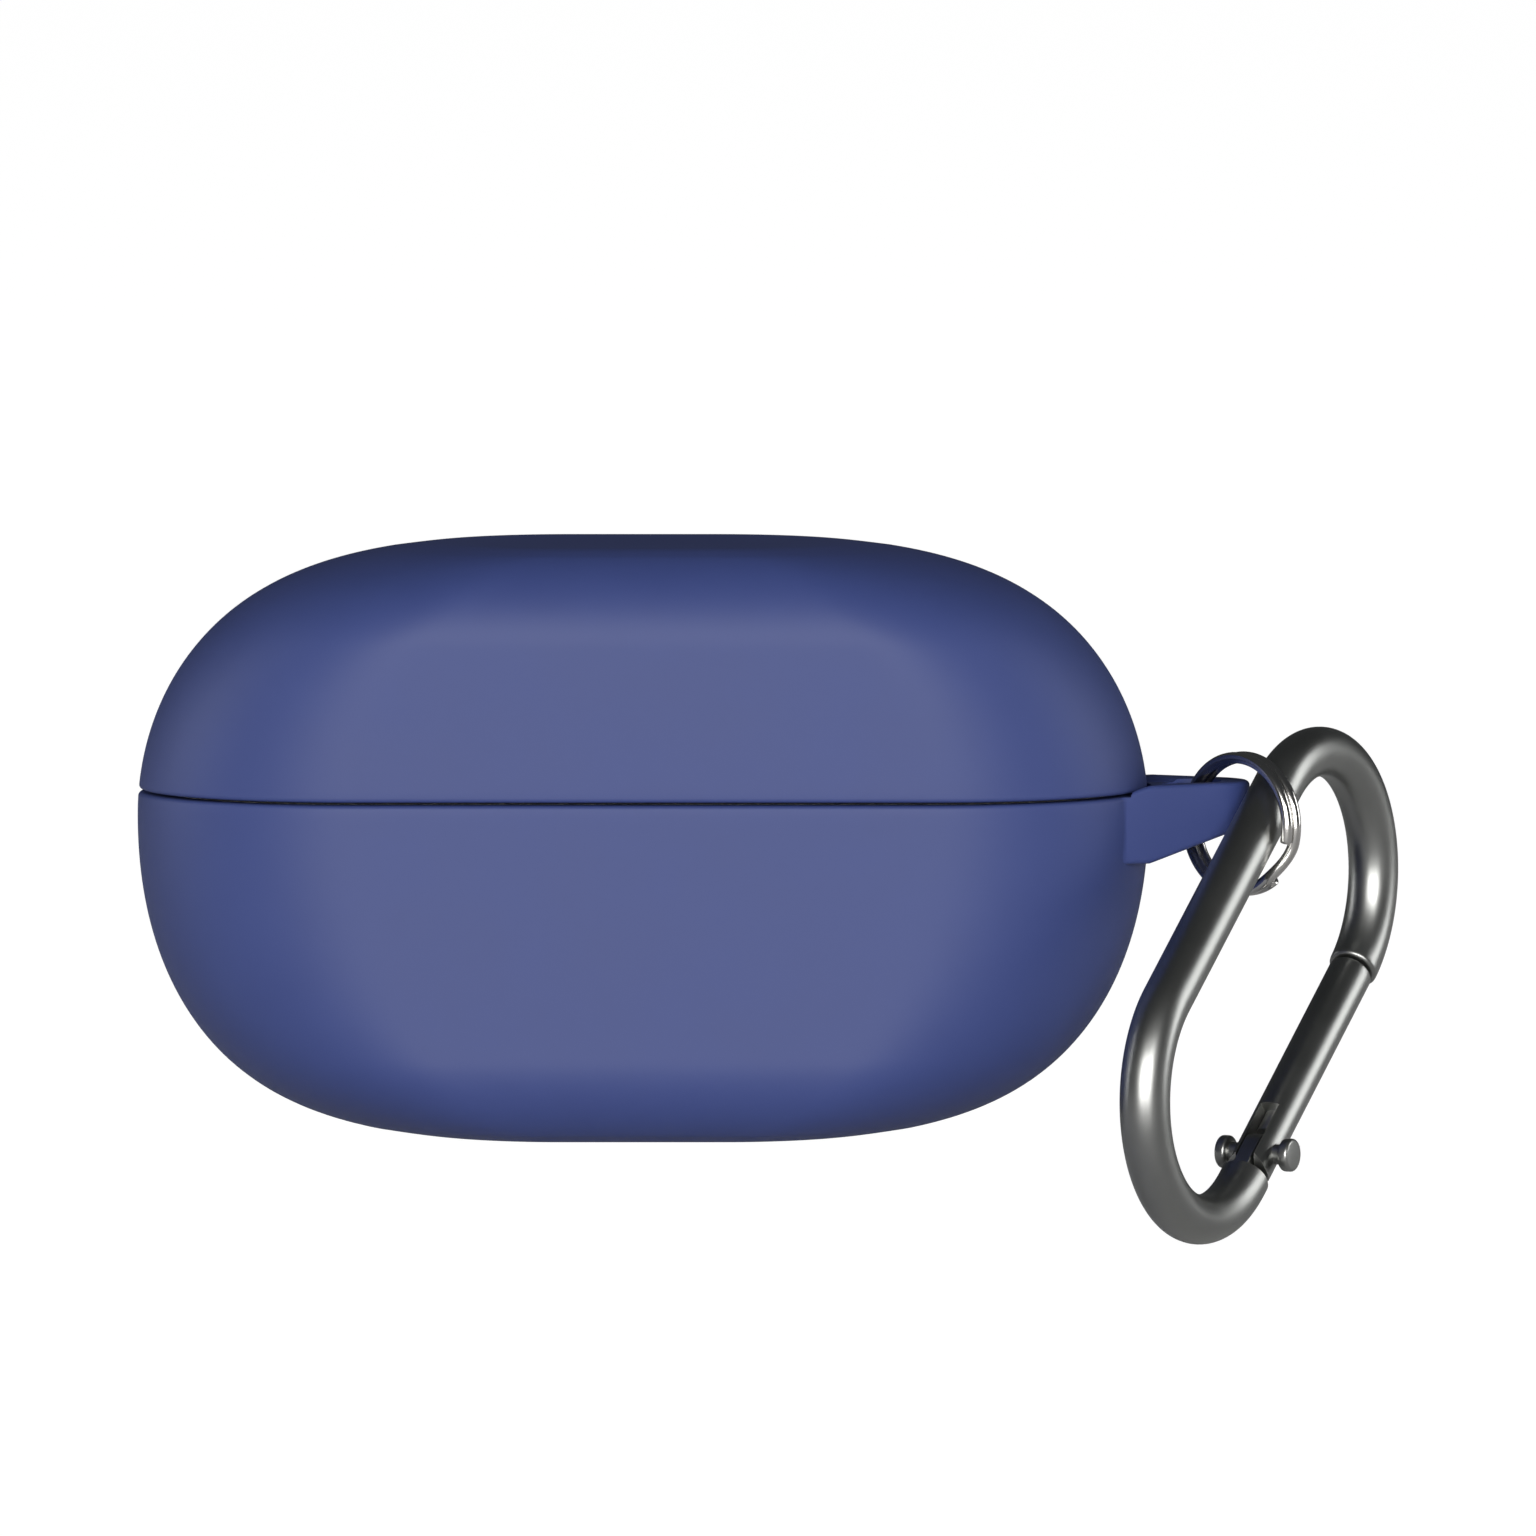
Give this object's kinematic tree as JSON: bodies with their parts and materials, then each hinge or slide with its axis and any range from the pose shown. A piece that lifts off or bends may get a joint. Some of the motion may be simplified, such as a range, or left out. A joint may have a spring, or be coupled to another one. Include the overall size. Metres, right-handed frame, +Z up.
{
  "type": "wireless earbuds case",
  "caption": "Upright pill-shaped wireless earbuds charging case in a soft two-piece silicone cover with a strap tab, split ring and spring-gate carabiner.",
  "frame": {"origin": "centre of the cover's flat underside", "axes": "+Z up, +X toward the strap tab and carabiner, +Y toward the hinge at the back"},
  "size_m": [0.0876, 0.0358, 0.0478],
  "materials": {
    "battery_wrap": "foil",
    "bud_gloss": "gloss",
    "bud_plastic": "satin",
    "button_plastic": "matte",
    "case_shell": "fine matte",
    "cell_steel": "drawn",
    "chip_black": "moulded",
    "circuit_board": "solder mask",
    "cover_silicone": "matte",
    "driver_metal": "turned",
    "ear_tip_silicone": "soft",
    "foam": "foam",
    "gold": "plated",
    "gunmetal": "black nickel",
    "led": "gloss",
    "light_pipe": "frosted",
    "liner_plastic": "satin",
    "magnet": "plated",
    "nickel": "bright nickel",
    "steel": "satin",
    "switch_metal": "stamped",
    "tray_plastic": "satin"
  },
  "bodies": {
    "base": {"cover_base": "cover_silicone", "case_base_shell": "case_shell", "cradle_tray": "tray_plastic", "hinge_pin": "steel", "base_magnets": "magnet", "status_light_pipe": "light_pipe", "status_led": "led", "pin_barrels": "gold", "battery_pad": "foam", "battery_cell": "battery_wrap", "main_board": "circuit_board", "board_screws": "steel", "board_chips": "chip_black", "hall_sensor": "chip_black", "usb_socket_shell": "steel", "usb_tongue": "chip_black", "button_switch": "switch_metal"},
    "lid": {"cover_lid": "cover_silicone", "case_lid_shell": "case_shell", "lid_liner": "liner_plastic", "lid_magnets": "magnet"},
    "pair_button": {"pairing_button": "button_plastic"},
    "left_pins": {"left_charging_pins": "gold"},
    "right_pins": {"right_charging_pins": "gold"},
    "ring": {"split_ring": "nickel"},
    "carabiner": {"carabiner_frame": "gunmetal", "gate_rivet": "gunmetal"},
    "gate": {"carabiner_gate": "gunmetal", "gate_plunger": "steel", "gate_spring": "steel"},
    "left_bud": {"left_bud_shell": "bud_plastic", "left_bud_cap": "bud_gloss", "left_bud_mic_mesh": "steel", "left_bud_nozzle": "bud_plastic", "left_bud_nozzle_mesh": "steel", "left_bud_ear_tip": "ear_tip_silicone", "left_bud_contacts": "gold", "left_bud_driver": "driver_metal", "left_bud_cell": "cell_steel", "left_bud_magnet": "magnet"},
    "right_bud": {"right_bud_shell": "bud_plastic", "right_bud_cap": "bud_gloss", "right_bud_mic_mesh": "steel", "right_bud_nozzle": "bud_plastic", "right_bud_nozzle_mesh": "steel", "right_bud_ear_tip": "ear_tip_silicone", "right_bud_contacts": "gold", "right_bud_driver": "driver_metal", "right_bud_cell": "cell_steel", "right_bud_magnet": "magnet"}
  },
  "joints": [
    {"name": "lid_hinge", "type": "hinge", "parent": "base", "child": "lid", "pos_m": [0, 0.01335, 0.02378], "axis": [-1, 0, 0], "range_deg": [0, 95]},
    {"name": "left_bud_lift", "type": "slide", "parent": "base", "child": "left_bud", "axis": [0, 0, 1], "range_m": [0, 0.002]},
    {"name": "right_bud_lift", "type": "slide", "parent": "base", "child": "right_bud", "axis": [0, 0, 1], "range_m": [0, 0.002]},
    {"name": "left_pins_press", "type": "slide", "parent": "base", "child": "left_pins", "axis": [0, 0, -1], "range_m": [0, 0.0004], "stiffness_N_per_m": 100},
    {"name": "right_pins_press", "type": "slide", "parent": "base", "child": "right_pins", "axis": [0, 0, -1], "range_m": [0, 0.0004], "stiffness_N_per_m": 100},
    {"name": "pair_button_press", "type": "slide", "parent": "base", "child": "pair_button", "axis": [0, -1, 0], "range_m": [0, 0.0004], "stiffness_N_per_m": 400},
    {"name": "ring_swing", "type": "hinge", "parent": "base", "child": "ring", "pos_m": [0.038, 0, 0.0216], "axis": [0, 0, 1], "range_deg": [-15, 30]},
    {"name": "carabiner_swing", "type": "hinge", "parent": "ring", "child": "carabiner", "pos_m": [0.04268, -0.00436, 0.022], "axis": [0.3735, 0.6687, 0.6429], "range_deg": [-30, 30]},
    {"name": "gate_open", "type": "hinge", "parent": "carabiner", "child": "gate", "pos_m": [0.04248, -0.00444, -0.00114], "axis": [0.8755, -0.4833, -0.006], "range_deg": [0, 28], "stiffness_Nm_per_rad": 0.05, "springref_deg": -11.46}
  ]
}
